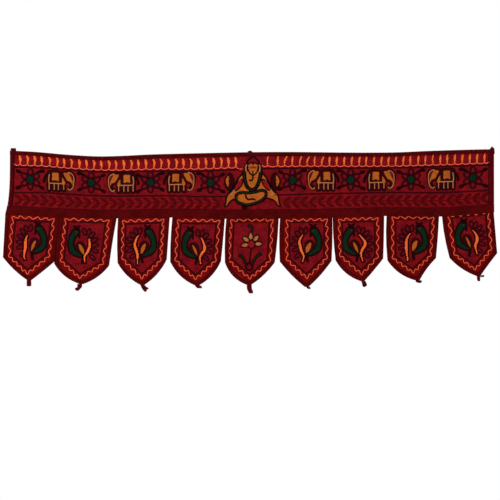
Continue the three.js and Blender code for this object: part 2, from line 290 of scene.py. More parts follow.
def addNode(tree, kind, values=(), **settings):
    node = tree.nodes.new("ShaderNode" + kind)
    for key, value in settings.items():
        setattr(node, key, value)
    for key, value in dict(values).items():
        if isinstance(value, bpy.types.NodeSocket):
            tree.links.new(value, node.inputs[key])
        else:
            node.inputs[key].default_value = value
    return node


def linkAll(tree, ends, sockets):
    for label, socket in sockets.items():
        tree.links.new(socket, ends[label])


def calc(tree, operation, *values):
    return addNode(tree, "Math", dict(enumerate(values)), operation=operation).outputs[0]


def times(tree, a, b):
    return calc(tree, "MULTIPLY", a, b)


def noise(tree, vector, scale, detail=2.0, rough=0.5):
    return addNode(tree, "TexNoise", {"Vector": vector, "Scale": scale, "Detail": detail,
                                      "Roughness": rough}).outputs[0]


def ranged(tree, value, low, high, newLow=0.0, newHigh=1.0):
    return addNode(tree, "MapRange", {0: value, 1: low, 2: high, 3: newLow, 4: newHigh}).outputs[0]


def mixed(tree, factor, a, b):
    return addNode(tree, "Mix", {0: factor, 6: a, 7: b}, data_type="RGBA").outputs[2]


def makePlainWeave():  # over and under of a plain cotton weave, with its slubs
    group, given, out = nodeGroup("plainWeave", {"Vector": "Vector", "Pitch": 0.8, "Slub": 0.4},
                                  {"Height": "Float", "Gaps": "Float", "Slubs": "Float"})
    part = addNode(group, "SeparateXYZ", {0: given["Vector"]}).outputs
    turn = calc(group, "DIVIDE", math.pi, given["Pitch"])
    warp, weft = (calc(group, "SINE", times(group, part[axis], turn)) for axis in "XY")
    height = calc(group, "MULTIPLY_ADD", times(group, warp, weft), 0.5, 0.5)
    streaks = [addNode(group, "Mapping", {"Vector": given["Vector"], "Scale": scale}).outputs[0]
               for scale in ((0.035, 0.9, 1.0), (0.9, 0.035, 1.0))]  # along the weft, along the warp
    slubs = calc(group, "MAXIMUM", *(noise(group, streak, 1.0) for streak in streaks))
    slubs = ranged(group, slubs, 0.55, 0.75)
    gaps = times(group, calc(group, "ABSOLUTE", warp), calc(group, "ABSOLUTE", weft))
    linkAll(group, out, {"Height": calc(group, "ADD", height, times(group, slubs, given["Slub"])),
                         "Gaps": calc(group, "SUBTRACT", 1.0, gaps), "Slubs": slubs})
    return group


def makeHandDye():  # uneven dye, soft fading and a little dust
    group, given, out = nodeGroup("handDye", {"Vector": "Vector", "Colour": "Color", "Deep": "Color",
                                              "Faded": "Color", "Patch": 0.02, "Amount": 0.5},
                                  {"Colour": "Color", "Roughness": "Float"})
    patches = noise(group, given["Vector"], given["Patch"], 3.0)
    fine = noise(group, given["Vector"], 0.35, 3.0, 0.6)
    deep = times(group, ranged(group, patches, 0.38, 0.62), given["Amount"])
    wear = times(group, ranged(group, fine, 0.5, 0.78), given["Amount"])
    colour = mixed(group, deep, given["Colour"], given["Deep"])
    linkAll(group, out, {"Colour": mixed(group, wear, colour, given["Faded"]),
                         "Roughness": ranged(group, fine, 0.3, 0.7, 0.78, 0.95)})
    return group


def makeThreadTwist():  # the slanting strands of a plied thread: u runs along it, v across
    group, given, out = nodeGroup("threadTwist", {"Vector": "Vector", "Pitch": 0.9, "Lean": 0.8},
                                  {"Height": "Float", "Grooves": "Float"})
    part = addNode(group, "SeparateXYZ", {0: given["Vector"]}).outputs
    slant = calc(group, "MULTIPLY_ADD", calc(group, "ABSOLUTE", part["Y"]), given["Lean"], part["X"])
    turn = calc(group, "DIVIDE", 2 * math.pi, given["Pitch"])
    height = ranged(group, calc(group, "SINE", times(group, slant, turn)), -1.0, 1.0)
    grooves = calc(group, "POWER", calc(group, "SUBTRACT", 1.0, height), 3.0)
    linkAll(group, out, {"Height": height, "Grooves": grooves})
    return group


plainWeave, handDye, threadTwist = makePlainWeave(), makeHandDye(), makeThreadTwist()
clothLooks = {  # colours (plain, deep, faded), the dye's patches and amount, the weave's pitch, bump, slot
    "crimsonCotton": ([(110, 9, 14), (80, 3, 12), (134, 28, 34)], 0.055, 1.0, 0.75, 0.45, "crimson_cotton"),
    "brickCotton": ([(100, 4, 2), (82, 2, 3), (126, 20, 8)], 0.05, 0.6, 0.75, 0.45, "crimson_cotton"),
    "maroonTape": ([(72, 3, 5), (50, 1, 3), (94, 14, 12)], 0.045, 0.8, 0.6, 0.6, "maroon_tape"),
}
threadLooks = {  # colours, gloss, slot
    "orange": ([(228, 104, 26), (198, 66, 18), (244, 146, 78)], 0.2, "orange_thread"),
    "salmon": ([(226, 94, 58), (194, 56, 34), (242, 136, 108)], 0.2, "orange_thread"),
    "ochre": ([(174, 88, 12), (126, 54, 6), (198, 120, 46)], 0.12, "ochre_thread"),
    "tan": ([(164, 106, 60), (124, 70, 32), (188, 136, 90)], 0.12, "ochre_thread"),
    "green": ([(4, 40, 21), (1, 23, 12), (20, 56, 36)], 0.03, "green_thread"),
    "dark": ([(30, 0, 2), (16, 0, 1), (50, 8, 10)], 0.02, "dark_thread"),
    "plum": ([(48, 0, 4), (32, 0, 3), (68, 5, 10)], 0.03, "dark_thread"),
    "rose": ([(108, 4, 22), (86, 0, 14), (130, 20, 40)], 0.05, "dark_thread"),
    "maroon": ([(80, 0, 2), (62, 0, 1), (102, 12, 12)], 0.03, "dark_thread"),
    "crimson": ([(135, 8, 14), (108, 3, 10), (160, 32, 34)], 0.06, "dark_thread"),
}
surfaces = {"clothGloss": 0.02, "slub": 0.5, "gapShade": 0.28, "slubFade": 0.22, "weaveHigh": 0.00022,
            "threadPatch": 0.05, "threadDye": 0.55, "twist": 0.75, "twistLean": 0.9, "grooveShade": 0.55,
            "threadSheen": (0.5, 0.7), "threadBump": 0.5, "twistHigh": 0.00018}


def shade(r, g, b):  # a screen colour, 0 to 255, as the shader's
    return tuple(c / 3294.6 if c <= 10 else ((c / 255 + 0.055) / 1.055) ** 2.4 for c in (r, g, b)) + (1.0,)


def dyed(name, colours, patch, amount, gloss):  # a new material, with its dye
    material = bpy.data.materials.new(name)
    material.use_nodes = True
    tree = material.node_tree
    shader = tree.nodes["Principled BSDF"].inputs
    shader["Specular IOR Level"].default_value = gloss
    uv = addNode(tree, "UVMap", uv_map="cloth").outputs[0]
    shades = [shade(*colour) for colour in colours]
    values = dict(zip(("Colour", "Deep", "Faded"), shades), Vector=uv, Patch=patch, Amount=amount)
    return material, tree, shader, uv, shades, addNode(tree, "Group", values, node_tree=handDye).outputs


def relief(tree, height, strength, distance):
    return addNode(tree, "Bump", {"Height": height, "Strength": strength, "Distance": distance}).outputs[0]


def makeCloth(name, colours, patch, amount, pitch, bump, slot):
    material, tree, shader, uv, shades, dye = dyed(name, colours, patch, amount, surfaces["clothGloss"])
    weave = addNode(tree, "Group", {"Vector": uv, "Pitch": pitch, "Slub": surfaces["slub"]},
                    node_tree=plainWeave).outputs
    shaded = mixed(tree, times(tree, weave["Gaps"], surfaces["gapShade"]), dye["Colour"], shades[1])
    faded = mixed(tree, times(tree, weave["Slubs"], surfaces["slubFade"]), shaded, shades[2])
    linkAll(tree, shader, {"Base Color": faded, "Roughness": dye["Roughness"],
                           "Normal": relief(tree, weave["Height"], bump, surfaces["weaveHigh"])})
    return material, slot


def makeThread(name, colours, gloss, slot):
    material, tree, shader, uv, shades, dye = dyed(name, colours, surfaces["threadPatch"],
                                                   surfaces["threadDye"], gloss)
    twist = addNode(tree, "Group", {"Vector": uv, "Pitch": surfaces["twist"], "Lean": surfaces["twistLean"]},
                    node_tree=threadTwist).outputs
    grooved = mixed(tree, times(tree, twist["Grooves"], surfaces["grooveShade"]), dye["Colour"], shades[1])
    sheen = ranged(tree, dye["Roughness"], 0.7, 1.0, *surfaces["threadSheen"])
    strands = relief(tree, twist["Height"], surfaces["threadBump"], surfaces["twistHigh"])
    linkAll(tree, shader, {"Base Color": grooved, "Roughness": sheen, "Normal": strands})
    return material, slot


finishes = {name: makeCloth(name, *look) for name, look in clothLooks.items()}
finishes |= {name: makeThread(name + "Thread", *look) for name, look in threadLooks.items()}
print("materials made:", len(finishes))


# The band: one cloth, cut 2.4 mm inside the fold of the tapes that bind it
band = {"thickness": 1.2, "inset": 2.4, "columns": 240, "rows": 30}


def onMm(*values):
    return tuple(v * mm for v in values)


def bandSheet(name, top, foot, inset, rows, lift, thickness, finish):
    along = np.linspace(hang["bandLeft"] + inset, hang["bandRight"] - inset, band["columns"] + 1)
    u, depth = np.meshgrid(along, np.linspace(top, foot, rows + 1))
    return clothOf(name, onBand, bandFlat(u, depth), lift, thickness, np.stack([u, -depth], -1), finish)


bandCloth = bandSheet("band_cloth", band["inset"], hang["panelFoot"], band["inset"], band["rows"], 0,
                      band["thickness"], "crimsonCotton")
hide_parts("band_panel")

# The maroon tape: folded over every edge, 8 mm to the front and the back
tape = {"reach": 8, "inner": 0.9, "outer": 1.9, "fold": 7, "legSteps": 3, "hem": 0.35, "tip": 0.25, "step": 4,
        "stripTop": 111, "stripThickness": 1.0, "stripRows": 8, "sideTop": 8.3, "sideFoot": 110.7}
tapeRadius = (tape["inner"] + tape["outer"]) / 2
tapeWide = 2 * (tape["reach"] - tape["outer"]) + math.pi * tapeRadius


def foldSection():  # round the tape's own section: how far inside the edge, and how far in front
    def skin(radius):
        legs = np.linspace(tape["reach"] - tape["hem"], tape["outer"], tape["legSteps"] + 1)[:-1]
        turn = np.linspace(0, np.pi, tape["fold"])
        return ([(inside, radius) for inside in legs]
                + [(tape["outer"] - radius * np.sin(t), radius * np.cos(t)) for t in turn]
                + [(inside, -radius) for inside in legs[::-1]])
    tip = [(tape["reach"], tapeRadius + way * tape["tip"]) for way in (1, -1)]
    return np.array(skin(tape["outer"]) + [(i, -f) for i, f in tip] + skin(tape["inner"])[::-1] + tip[::-1])


def foldedTape(name, at, inwards, along, surface):
    section = foldSection()
    spots = at[:, None] + inwards[:, None] * section[:, :1]
    return tapePiece(name, surface(spots, section[:, 1]), section, along)


def bandEdge(name, start, end, node):
    count = int(abs(start[0] - end[0]) + abs(start[1] - end[1])) // tape["step"]
    at = np.linspace(start, end, count + 1)
    along = np.linspace(0, np.hypot(*(at[-1] - at[0])), count + 1)
    piece = foldedTape(name, at, inwardsOf(at), along,
                       lambda spots, lift: onBand(bandFlat(spots[..., 0], -spots[..., 1]), lift))
    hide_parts(node)


bandEdge("tape_top", (hang["bandRight"], 0), (hang["bandLeft"], 0), "binding_top")
for side, start, end in (("left", "sideTop", "sideFoot"), ("right", "sideFoot", "sideTop")):
    edge = hang["band" + side.title()]
    bandEdge(f"tape_{side}", (edge, -tape[start]), (edge, -tape[end]), f"binding_{side}")
strip = bandSheet("seam_strip", tape["stripTop"], hang["bandDepth"], 0, tape["stripRows"], tapeRadius,
                  tape["stripThickness"], "maroonTape")
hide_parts("joining_strip")
print("band, its tapes and the seam strip made")


# The flags: pointed cloths with their heads behind the seam strip, and the brick ribbon under their wavy line
flagCut = {"sideSteps": 3, "slopeSteps": 8, "bluntHalf": 3.5, "bluntRise": 3, "head": 120.8, "headSteps": 3,
           "columns": 26, "fine": [8] * 3 + [2] * 8 + [3] + [2] * 8 + [8] * 3}
ribbon = {"outside": 6.4, "inside": 4.6, "columns": 4, "thickness": 0.24, "lift": 0.74, "step": 3.0}


def flagEdge(flag):  # down the left side, round the blunt point, up the right side: places, ways inwards, run
    top = lambda x: np.array([x, heightOn(hang["stripFoot"], x)])
    left, right = flag["shoulders"]
    bluntLeft, bluntRight = (flag["point"] + np.array([way * flagCut["bluntHalf"], flagCut["bluntRise"]])
                             for way in (-1, 1))
    at = np.concatenate([bowed(top(flag["left"]), left, flag["sides"][0], flagCut["sideSteps"]),
                         bowed(left, bluntLeft, flag["bows"][0], flagCut["slopeSteps"]), [bluntLeft],
                         bowed(bluntRight, right, flag["bows"][1], flagCut["slopeSteps"]),
                         bowed(right, top(flag["right"]), flag["sides"][1], flagCut["sideSteps"]),
                         [top(flag["right"])]])
    inwards = inwardsOf(at)
    for end, way in ((0, 1), (-1, -1)):  # the tape's cut ends run along the strip's foot
        inwards[end] = (top(at[end, 0] + way * tape["reach"]) - at[end]) / tape["reach"]
    key = np.concatenate([[0], np.cumsum(flagCut["fine"])])
    at, inwards = (placesAt(np.arange(key[-1] + 1), key, values) for values in (at, inwards))
    return at, inwards, runOf(at)


def aroundWave(flag, step):  # round the line that the wavy border follows, edge by edge
    corners = np.array(flag["wave"][::-1], float)
    inwards = inwardsOf(corners, closed=True)
    at, ways, edges = [], [], []
    for k in range(len(corners)):
        a, b = corners[k - 1], corners[k]
        edges.append(np.hypot(*(b - a)))
        n = max(4, int(edges[-1] / step))
        t = (np.arange(n) / n)[:, None]
        at.append(a + (b - a) * t)
        ways.append(inwards[k - 1] + (inwards[k] - inwards[k - 1]) * t)
    return at, ways, edges


def makeFlag(number, flag):
    surface = onFlag(flag)
    at, inwards, along = flagEdge(flag)
    cut = at + inwards * band["inset"]
    sides = []
    for side in (cut[:len(cut) // 2], cut[::-1][:len(cut) // 2]):
        x = side[0, 0]
        head = (x, heightOn(hang["stripFoot"], x) + hang["bandDepth"] - flagCut["head"])
        sides.append(np.concatenate([bowed(head, side[0], 0, flagCut["headSteps"]), side]))
    left, right = sides
    t = np.linspace(0, 1, flagCut["columns"] + 1)[:, None]
    spots = left[:, None] + (right - left)[:, None] * t
    cloth = clothOf(f"flag_cloth_{number}", surface, spots, 0, band["thickness"], spots + (31 * number, 0),
                    "crimsonCotton")
    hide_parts(f"flag_panel_{number}")
    edging = foldedTape(f"flag_tape_{number}", at, inwards, along + 47 * number, surface)
    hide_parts(f"flag_binding_{number}")

    places, ways, edges = aroundWave(flag, ribbon["step"])
    across = np.linspace(-ribbon["outside"], ribbon["inside"], ribbon["columns"])[:, None]
    spots = np.concatenate(places)[:, None] + np.concatenate(ways)[:, None] * across
    ground = clothOf(f"border_ground_{number}", surface, spots, ribbon["lift"], ribbon["thickness"],
                     spots + (13 * number, 0), "brickCotton", wrap=True)
    onMm(ribbon["outside"] + ribbon["inside"], sum(edges))
    outline = np.concatenate([left, right[::-1]])
    x, z = outline.T
    area = abs(np.dot(x, np.roll(z, -1)) - np.dot(z, np.roll(x, -1))) / 2
    return cloth, edging, along[-1]


# The tape's tails: where its ends meet at the point they hang free, folded double. Each is given
# by its two sides, from the flag's point
tails = {
    "sides": [
        [([(-5, 3.5), (-5.2, -6.8), (-3.4, -8.8)], [(4, 3.5), (4.2, -6.8), (2.4, -8.8)])],
        [([(-8.8, 3.5), (-9, -3), (-13, -4.8), (-13, -8.6), (-9, -10.7)],
          [(1, 3.5), (0.4, -3), (-2.6, -6.4), (-4.4, -8.6), (-7, -10.7)])],
        [([(-4, 3.5), (-2.5, -0.5), (0.5, -6), (4.6, -10.4)],
          [(3, 3.5), (6.5, -1.5), (9.2, -6), (7.4, -10.4)]),
         ([(0.5, 3.5), (6.4, -2.6), (10.8, -6.2)], [(4.4, 3.5), (8.5, -0.4), (13, -2.6)])],
        [([(-4.5, 3.5), (-2, 0.4), (0, -2.3)], [(6.5, 3.5), (9.8, 1.2), (9.9, -2.4)])],
        [([(-4.6, 3.5), (-4, -5), (0, -13.5)], [(5.4, 3.5), (6, -5), (8, -8), (8, -13.8)])],
        [([(-1.5, 3.5), (1, 0.8), (2.6, -1)], [(6.6, 3.5), (7.8, 1.4), (8.4, -0.8)])],
        [([(-2.8, 3.5), (-1, -3), (-0.4, -6.6), (2, -8.8)],
          [(6, 3.5), (7.8, -0.8), (9.2, -4.6), (7, -7.2), (4, -8.8)])],
        [([(-4.6, 3.5), (-3.6, 0), (2.6, -2)], [(7.6, 3.5), (8.2, 0.4), (5.8, -2)])],
        [([(-3.4, 3.5), (-2.8, -5), (-0.6, -7.2)], [(3.2, 3.5), (3.6, -2), (3.2, -7.2)]),
         ([(2.6, 3.2), (5, 1), (11, 1.4)], [(5, 4.4), (8, 5.2), (11.4, 5.2)])],
    ],
    "layer": 0.42, "apart": 0.55, "steps": 14, "twist": 0.16, "short": 0.5,
}


def tailSection(width):  # two layers of tape joined by a fold along one side, seen from its end
    a, b = tails["apart"] - tails["layer"] / 2, tails["apart"] + tails["layer"] / 2
    side, cut = width / 2 - b, -width / 2 + tails["short"]
    turn = np.linspace(np.pi / 2, -np.pi / 2, 5)
    outer = [(side + b * np.cos(t), b * np.sin(t)) for t in turn[1:-1]]
    inner = [(side + a * np.cos(t), a * np.sin(t)) for t in turn]
    return np.array([(-width / 2, b), (side, b)] + outer + [(side, -b), (cut, -b), (cut, -a)]
                    + inner[::-1] + [(-width / 2, a)])


def makeTail(name, flag, sides, turn):
    left, right = (respaced(smooth(side), count=tails["steps"] + 1) + flag["point"] for side in sides)
    surface, rings = onFlag(flag), []
    for k, (start, end) in enumerate(zip(left, right)):
        wide = np.hypot(*(end - start))
        section = tailSection(wide)
        lean = tails["twist"] * turn * k / tails["steps"]
        offset = section[:, 0] * math.cos(lean) - section[:, 1] * math.sin(lean)
        lift = section[:, 0] * math.sin(lean) + section[:, 1] * math.cos(lean)
        rings.append(surface((start + end) / 2 + (end - start) / wide * offset[:, None], lift))
    along = np.linspace(0, np.hypot(*(left[-1] - left[0])), len(rings))
    return tapePiece(name, np.array(rings), section, along)


for number, (flag, ends) in enumerate(zip(flags, tails["sides"]), 1):
    cloth, edging, length = makeFlag(number, flag)
    for k, sides in enumerate(ends):
        name = f"flag_tail_end_{number}" + "ab"[k] * (len(ends) > 1)
        makeTail(name, flag, sides, (-1) ** (number + k))
    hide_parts(f"flag_tail_{number}")
    onMm(tapeWide, length)
    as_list(cloth)
print("nine flags made")


# The hanging loops: tape turned over behind the top edge, its two ends sewn together
loopTape = {
    "wide": 10, "thickness": 0.9, "radius": 3.1, "behind": 3.6, "centre": -3.6, "bend": -7, "heel": -11,
    "foot": -16, "gap": 0.4, "step": 0.9, "thinEdge": 0.35, "wobble": 0.12,
    "places": {"left": (-477, 8.4, 0, 0), "centre": (-3, 3.8, 2.2, 2.2), "right": (481.5, 12.2, 7.5, 4.8)},
}


def loopLine():  # the tape's middle, seen from the side: how far behind the front face, how high
    bend, heel, foot, radius = (loopTape[key] for key in ("bend", "heel", "foot", "radius"))
    turn = np.linspace(np.pi, 0, 13)
    arc = radius * np.stack([np.cos(turn), np.sin(turn)], 1) + (loopTape["behind"], loopTape["centre"])
    back = [(6.7, bend), (5.6, bend - 1.6), (2.7, heel + 1.2), (1.55, heel - 0.6), (1.5, foot + 0.4)]
    return respaced(np.concatenate([[(0.5, foot), (0.5, heel)], arc, back]), loopTape["step"])


line = loopLine()
side, along, across = inwardsOf(line), runOf(line), np.linspace(-1, 1, 9)
edge = 1 - loopTape["thinEdge"] * np.abs(across) ** 8
wobble = loopTape["wobble"] * np.sin(across * 3 + 1.3)
for name, (x, top, *drops) in loopTape["places"].items():  # a drawn-up loop drops to its two sides
    fall = np.where(across < 0, *drops) * np.abs(across) * np.clip(1 - line[:, 1:] / loopTape["heel"], 0, 1)
    faces = []
    for way in (1, -1):
        spots = line[:, None] + side[:, None] * (way * loopTape["thickness"] / 2 * edge)[:, None]
        y = rollAt(x, 0) + rumple(x, top) + tape["outer"] + loopTape["gap"] + spots[..., 0] + wobble
        faces.append(np.stack(np.broadcast_arrays(x + across * loopTape["wide"] / 2, y,
                                                  top + spots[..., 1] - fall), -1))
    uv = alongUv(along, across * loopTape["wide"] / 2)
    loop = closedSheet(f"loop_tape_{name}", *faces, uv, "maroonTape")
    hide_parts(f"loop_{name}")
    onMm(loopTape["wide"], along[-1])
print("three hanging loops made")


# Embroidery: rows of chain stitch, each a ridge of small links that lies on the cloth
chain = {"link": 3.0, "step": 1.0, "base": 0.6, "over": 1.15, "pinch": 0.26, "sink": 0.3, "shortest": 0.8,
         "across": [-1, -0.6, 0, 0.6, 1], "high": [0, 0.95, 0.68, 0.95, 0]}
filling = {"shortest": 1.2, "inset": 0.2, "step": 3, "wander": 0.1, "overlap": 1.35}
over = chain["over"]
sewn = {}  # what has been sewn so far, by thread and place


def addSewn(colour, lot, points, uv, quads, tris):
    pile = sewn.setdefault((colour, lot), {"points": [], "uv": [], "quads": [], "tris": [], "count": 0})
    pile["points"].append(points.reshape(-1, 3))
    pile["uv"].append(uv.reshape(-1, 2))
    pile["quads"].append(quads + pile["count"])
    pile["tris"].append(tris + pile["count"])
    pile["count"] += len(pile["points"][-1])


def sideways(line, least=0):  # across the line at each place, one long
    way = np.gradient(line, axis=0)
    return np.stack([-way[:, 1], way[:, 0]], 1) / np.maximum(np.hypot(*way.T), least)[:, None]


def stitch(lot, surface, line, width, colour, height=0.9, base=None, closed=False):
    line = respaced(np.concatenate([line, line[:1]]) if closed else line, chain["step"])
    s = runOf(line)
    if s[-1] < chain["shortest"]:
        return
    links = max(1, round(s[-1] / chain["link"]))
    thin = 1 - np.abs(np.sin(np.pi * (s / s[-1] * links + 0.12)))
    wide = width / 2 * (1 - chain["pinch"] * thin)
    tall = height * (1 - chain["sink"] * thin) * (1 + 0.08 * np.sin(s * 0.9 + line[0, 0]))
    wide[[0, -1]] *= 0.5
    tall[[0, -1]] *= 0.45
    offset = wide[:, None] * np.array(chain["across"])
    lift = (chain["base"] if base is None else base) + tall[:, None] * np.array(chain["high"])
    points = surface(line[:, None] + sideways(line, 1e-6)[:, None] * offset[..., None], lift)
    quads = tubeQuads(len(line), 5)[1]
    fan = np.array([[0, 2, 1], [0, 3, 2], [0, 4, 3]])
    tris = np.concatenate([fan[:, ::-1], fan + (len(line) - 1) * 5])
    addSewn(colour, lot, points, alongUv(s + 7.3 * line[0, 0], offset), quads, tris)


def fill(lot, surface, outline, angle, colour, pitch=1.45, height=0.75, base=None):  # rows inside an outline
    turn = math.radians(angle)
    spin = np.array([[math.cos(turn), math.sin(turn)], [-math.sin(turn), math.cos(turn)]])
    shape = np.asarray(outline, float) @ spin.T
    after = np.roll(shape, -1, axis=0)
    low, high = shape[:, 1].min(), shape[:, 1].max()
    rows = max(1, round((high - low) / pitch))
    pitch = (high - low) / rows
    for row in range(rows):
        level = low + (row + 0.5) * pitch
        crossed = (shape[:, 1] > level) != (after[:, 1] > level)
        a, b = shape[crossed], after[crossed]
        xs = np.sort(a[:, 0] + (level - a[:, 1]) / (b[:, 1] - a[:, 1]) * (b[:, 0] - a[:, 0]))
        for start, end in zip(xs[::2], xs[1::2]):
            if end - start < filling["shortest"]:
                continue
            t = np.linspace(start + filling["inset"], end - filling["inset"],
                            max(2, int((end - start) / filling["step"])))
            wander = filling["wander"] * np.sin(t * 0.7 + row * 2.1)
            stitch(lot, surface, np.stack([t, level + wander], 1) @ spin, pitch * filling["overlap"], colour,
                   height, base)


# sewLine takes a line, its width, thread, height and base. sewPatch takes an outline, its rows' angle, thread,
# pitch, height and base. The base is how far in front of the cloth's middle the stitches start
def needlesOn(lot, surface):
    return partial(stitch, lot, surface), partial(fill, lot, surface)


sewLine, sewPatch = needlesOn("band", onBand)


def ring(cx, cz, rx, rz=None, steps=24):
    t = np.linspace(0, 2 * np.pi, steps, endpoint=False)
    return np.stack([cx + rx * np.cos(t), cz + (rz or rx) * np.sin(t)], 1)


def petal(cx, cz, angle, long, wide):  # a leaf shape about its middle, its tip at the angle
    t = np.linspace(0, 2 * np.pi, 20, endpoint=False)
    x, z = long / 2 * np.cos(t), wide / 2 * np.sin(t) * (1 - 0.25 * np.cos(t))
    c, s = math.cos(math.radians(angle)), math.sin(math.radians(angle))
    return np.stack([cx + x * c - z * s, cz + x * s + z * c], 1)


def bothSides(line, half):  # out along one side of a line and back along the other
    away = sideways(line) * half[:, None]
    return np.concatenate([line + away, (line - away)[::-1]])


def bladeOf(line, width, root, tip=0.1):  # an outline along a line, widest in the middle
    line = respaced(line, 1.2)
    t = np.linspace(0, 1, len(line))
    return bothSides(line, width / 2 * (np.maximum(np.sin(np.pi * t), 0) ** 0.8 + root * (1 - t) + tip * t))


def strokeOf(line, width, shape):  # an outline along a line, with its width at shares of its length
    line = respaced(line)
    return bothSides(line, width / 2 * np.interp(np.linspace(0, 1, len(line)), *zip(*shape)))


def pushedOut(outline, gap):  # an outline's own shape, a little further out
    x, z = outline.T
    turn = np.sign((x * np.roll(z, -1) - z * np.roll(x, -1)).sum())
    ways = inwardsOf(outline, closed=True)
    return outline - turn * gap * ways / np.maximum(1, np.hypot(*ways.T) / 1.5)[:, None]


def motifAt(x, depth, facing=1):  # a motif's own places, z up from its middle, on the band
    return lambda points: bandSpot(*(np.asarray(points, float) * (facing, -1) + (x, depth)).T)


# Rows of the band, at their depths below the top edge
rows = {
    "lineOne": [(-476, 33), (-410, 30.5), (-350, 31.2), (-230, 33.6), (-110, 36), (-60, 34.4), (30, 31.8),
                (160, 30.8), (300, 31.3), (478, 31.8)],
    "lineTwo": [(-476, 85), (-411, 80.6), (-300, 82.5), (-200, 84), (-110, 86.2), (-55, 85.6), (50, 83.4),
                (150, 81.5), (300, 81.4), (400, 82.4), (478, 83)],
    "lines": [("lineOne", -476, -20, 3.8), ("lineOne", 18, 478, 3.8), ("lineTwo", -476, -46, 3.3),
              ("lineTwo", 44, 478, 3.3)],
    "ends": [-474.5, 474.5], "endTop": 9.5, "endFoot": 110, "endLean": 8, "endWide": 2.2,
}
comb = {  # the curved strokes under the top tape and the scallops at their feet
    "halves": [{"knots": [(1, -463), (13, -286), (30, -31)], "lean": -1.4, "steep": -1.4, "sways": False,
                "bend": 1, "wide": 4.8, "angle": 90, "before": (-12, -0.6), "after": (13, 4.2)},
               {"knots": [(1, 32), (2, 52), (30, 466)], "lean": 1.8, "steep": 4.5, "sways": True,
                "bend": -0.3, "wide": 3.4, "angle": 82, "before": (-11, -0.6), "after": (9, -0.8)}],
    "strokes": 30, "steepAt": (2, 4, 5, 7), "top": 7.6, "foot": 26, "level": 32,
    "scallop": 3.0, "scallopWide": 2.0,
    "shape": [(0, 0.25), (0.14, 0.72), (0.38, 1), (0.65, 0.8), (0.88, 0.5), (1, 0.4)],
}
leaves = {
    "runs": [(-465, -62, 1), (70, 474, -1)],  # first, last, facing
    "pitch": 17.2, "depth": 98, "level": 83, "wide": 3.9, "root": 0.7, "tip": 0.35, "angle": 44, "stem": 1.8,
    "line": [(-9, 10.4), (-4, 7.6), (1, 4.2), (6, 0.3)],
}


def depthOn(table, x):
    return np.interp(x, *zip(*rows[table]))


def leafLevel(x):
    return leaves["depth"] + (depthOn("lineTwo", x) - leaves["level"]) * 0.5


for name, start, end, wide in rows["lines"]:
    x = np.arange(start, end, 3.0)
    sewLine(bandSpot(x, depthOn(name, x)), wide, "plum")
for x in rows["ends"]:
    depth = np.linspace(rows["endTop"], rows["endFoot"], 30)
    lean = -rows["endLean"] * (depth / hang["bandDepth"]) ** hang["leanPower"] if x < 0 else 0
    sewLine(bandSpot(x + lean + 0 * depth, depth), rows["endWide"], "dark")

for half in comb["halves"]:
    count = comb["strokes"]
    xs = np.interp(np.arange(1, count + 1), *zip(*half["knots"])) + rng.uniform(-0.6, 0.6, count)
    feet = []
    for k, x in enumerate(xs):
        drop = depthOn("lineOne", x) - comb["level"]
        top, foot = comb["top"] + rng.uniform(-0.8, 0.8) + 0.5 * drop, comb["foot"] + 0.8 * drop
        lean = half["steep" if k in comb["steepAt"] else "lean"]
        if half["sways"]:
            lean *= rng.uniform(0.8, 1.2)
        bend = rng.uniform(0.8, 2.2) * half["bend"]
        spine = [(x + lean, top), (x + lean * 0.5 + bend, top * 0.68 + foot * 0.32),
                 (x + bend * 0.5, top * 0.34 + foot * 0.66), (x, foot + 0.6)]
        stroke = strokeOf(bandSpot(*smooth(spine).T), half["wide"] * rng.uniform(0.88, 1.1), comb["shape"])
        sewPatch(stroke, half["angle"], "orange", 1.35, 0.85)
        feet.append((x, foot))
    feet = np.concatenate([[np.add(feet[0], half["before"])], feet, [np.add(feet[-1], half["after"])]])
    t = np.linspace(0, 1, 9)
    sag = comb["scallop"] * np.sin(np.pi * t) ** 0.7
    for (xa, da), (xb, db) in zip(feet[:-1], feet[1:]):
        line = bandSpot(xa + (xb - xa) * t, da + (db - da) * t + sag)
        sewLine(line, comb["scallopWide"], "salmon", 0.85)

for start, end, facing in leaves["runs"]:
    for x in np.arange(start, end, leaves["pitch"]):
        for way in (1, -1):
            line = smooth(np.array(leaves["line"]) * (facing, way) + (x, leafLevel(x)))
            sewPatch(bladeOf(bandSpot(*line.T), leaves["wide"], leaves["root"], leaves["tip"]),
                     way * facing * leaves["angle"], "maroon", 1.4, 0.6)
    x = np.arange(start, end, 4.0)
    sewLine(bandSpot(x, leafLevel(x)), leaves["stem"], "maroon", 0.55)
print("the band's rows sewn")


# Stars and elephants along the middle row
stars = {
    "at": [(-442, 58), (-321, 57), (-202, 58.5), (-82, 60), (82, 56), (198, 56.5), (319, 57), (443, 58)],
    "disc": (6.6, 7.2),
    "petals": [(0, 17.5, 90), (0, -13, -90), (12, 8.5, 33), (-12.5, 9, 145), (-12.5, -4.5, 204),
               (12, -6.5, -30)],
    "petal": (12.5, 9.5), "petalWide": 5, "armWide": 4, "knobWide": 6.6, "rim": 1.2, "rimWide": 4.0,
    "knob": [(0, 0.4), (0.3, 0.85), (0.65, 1), (0.9, 0.85), (1, 0.5)],
    "arms": [[(5, 6), (9, 12), (17, 14), (24, 17), (29, 19.5)],
             [(-4, 6), (-8, 12), (-14, 17), (-22, 20), (-29, 19.5)],
             [(-5, -5), (-9, -9), (-16, -10.5), (-22, -13), (-28, -16)],
             [(5, -4), (9, -10), (17, -12), (23, -15), (30, -18)]],
}
